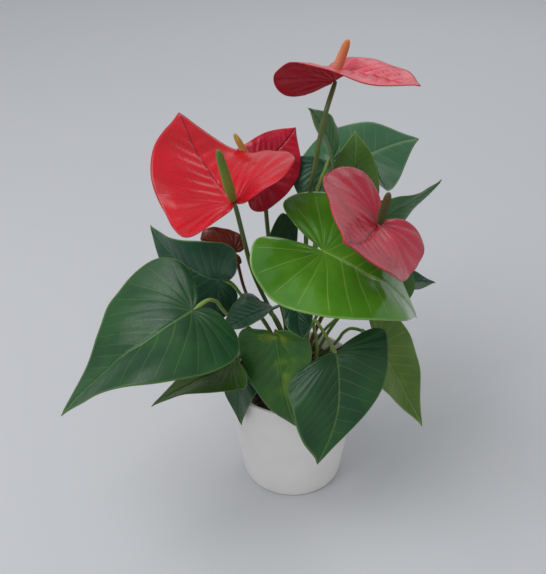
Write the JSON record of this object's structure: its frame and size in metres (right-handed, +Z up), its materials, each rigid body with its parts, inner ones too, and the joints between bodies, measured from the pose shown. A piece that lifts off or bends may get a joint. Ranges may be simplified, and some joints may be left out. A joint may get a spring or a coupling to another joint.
{
  "type": "potted anthurium",
  "caption": "Potted anthurium with glossy red spathes and heart-shaped green leaves in a plain white ceramic pot.",
  "frame": {"origin": "centre of the pot's base, on the surface it stands on", "axes": "+Z up along the pot's axis; the plant's front faces -Y"},
  "size_m": [0.3372, 0.3123, 0.4422],
  "materials": {
    "pot": "matt warm white glaze",
    "soil": "damp bark mix",
    "leaf_dark": "waxy dark green",
    "leaf_bright": "glossy bright green",
    "leaf_olive": "satin olive",
    "leaf_pale": "satin blue-green",
    "leaf_bronze": "satin bronze",
    "spathe_red": "glossy red",
    "spathe_pink": "glossy pink-red",
    "spathe_dark": "satin dark red",
    "petiole": "satin green",
    "petiole_red": "satin dark red",
    "peduncle": "satin olive",
    "spadix_green": "fine beaded",
    "spadix_orange": "fine beaded",
    "spadix_brown": "fine beaded"
  },
  "bodies": {
    "root": {"pot": "pot", "soil": "soil", "leaf_left_large": "leaf_dark", "leaf_left_upper": "leaf_dark", "leaf_left_lower": "leaf_dark", "leaf_left_hanging": "leaf_dark", "leaf_front_variegated": "leaf_dark", "leaf_front_dark": "leaf_dark", "leaf_right_olive": "leaf_olive", "leaf_centre_bright": "leaf_bright", "leaf_right_round": "leaf_dark", "leaf_right_pointed": "leaf_dark", "leaf_right_small": "leaf_dark", "leaf_back_pale": "leaf_pale", "leaf_top_folded": "leaf_dark", "leaf_top_olive": "leaf_olive", "leaf_centre_dark": "leaf_dark", "leaf_inner_blue": "leaf_dark", "leaf_inner_round": "leaf_dark", "leaf_back_hanging": "leaf_dark", "leaf_young_bronze": "leaf_bronze", "spathe_left": "spathe_red", "spathe_back": "spathe_red", "spathe_top": "spathe_red", "spathe_right": "spathe_pink", "spathe_low": "spathe_dark", "petiole_left_large": "petiole", "petiole_left_upper": "petiole", "petiole_left_lower": "petiole", "petiole_left_hanging": "petiole", "petiole_front_variegated": "petiole", "petiole_front_dark": "petiole", "petiole_right_olive": "petiole", "petiole_centre_bright": "petiole", "petiole_right_round": "petiole", "petiole_right_pointed": "petiole", "petiole_right_small": "petiole", "petiole_back_pale": "petiole", "petiole_top_folded": "petiole", "petiole_top_olive": "petiole", "petiole_centre_dark": "petiole", "petiole_inner_blue": "petiole", "petiole_inner_round": "petiole", "petiole_back_hanging": "petiole", "petiole_young_bronze": "petiole_red", "peduncle_left": "peduncle", "peduncle_back": "peduncle", "peduncle_top": "peduncle", "peduncle_right": "peduncle", "peduncle_low": "peduncle", "spadix_left": "spadix_green", "spadix_back": "spadix_orange", "spadix_top": "spadix_orange", "spadix_right": "spadix_brown"}
  },
  "joints": []
}
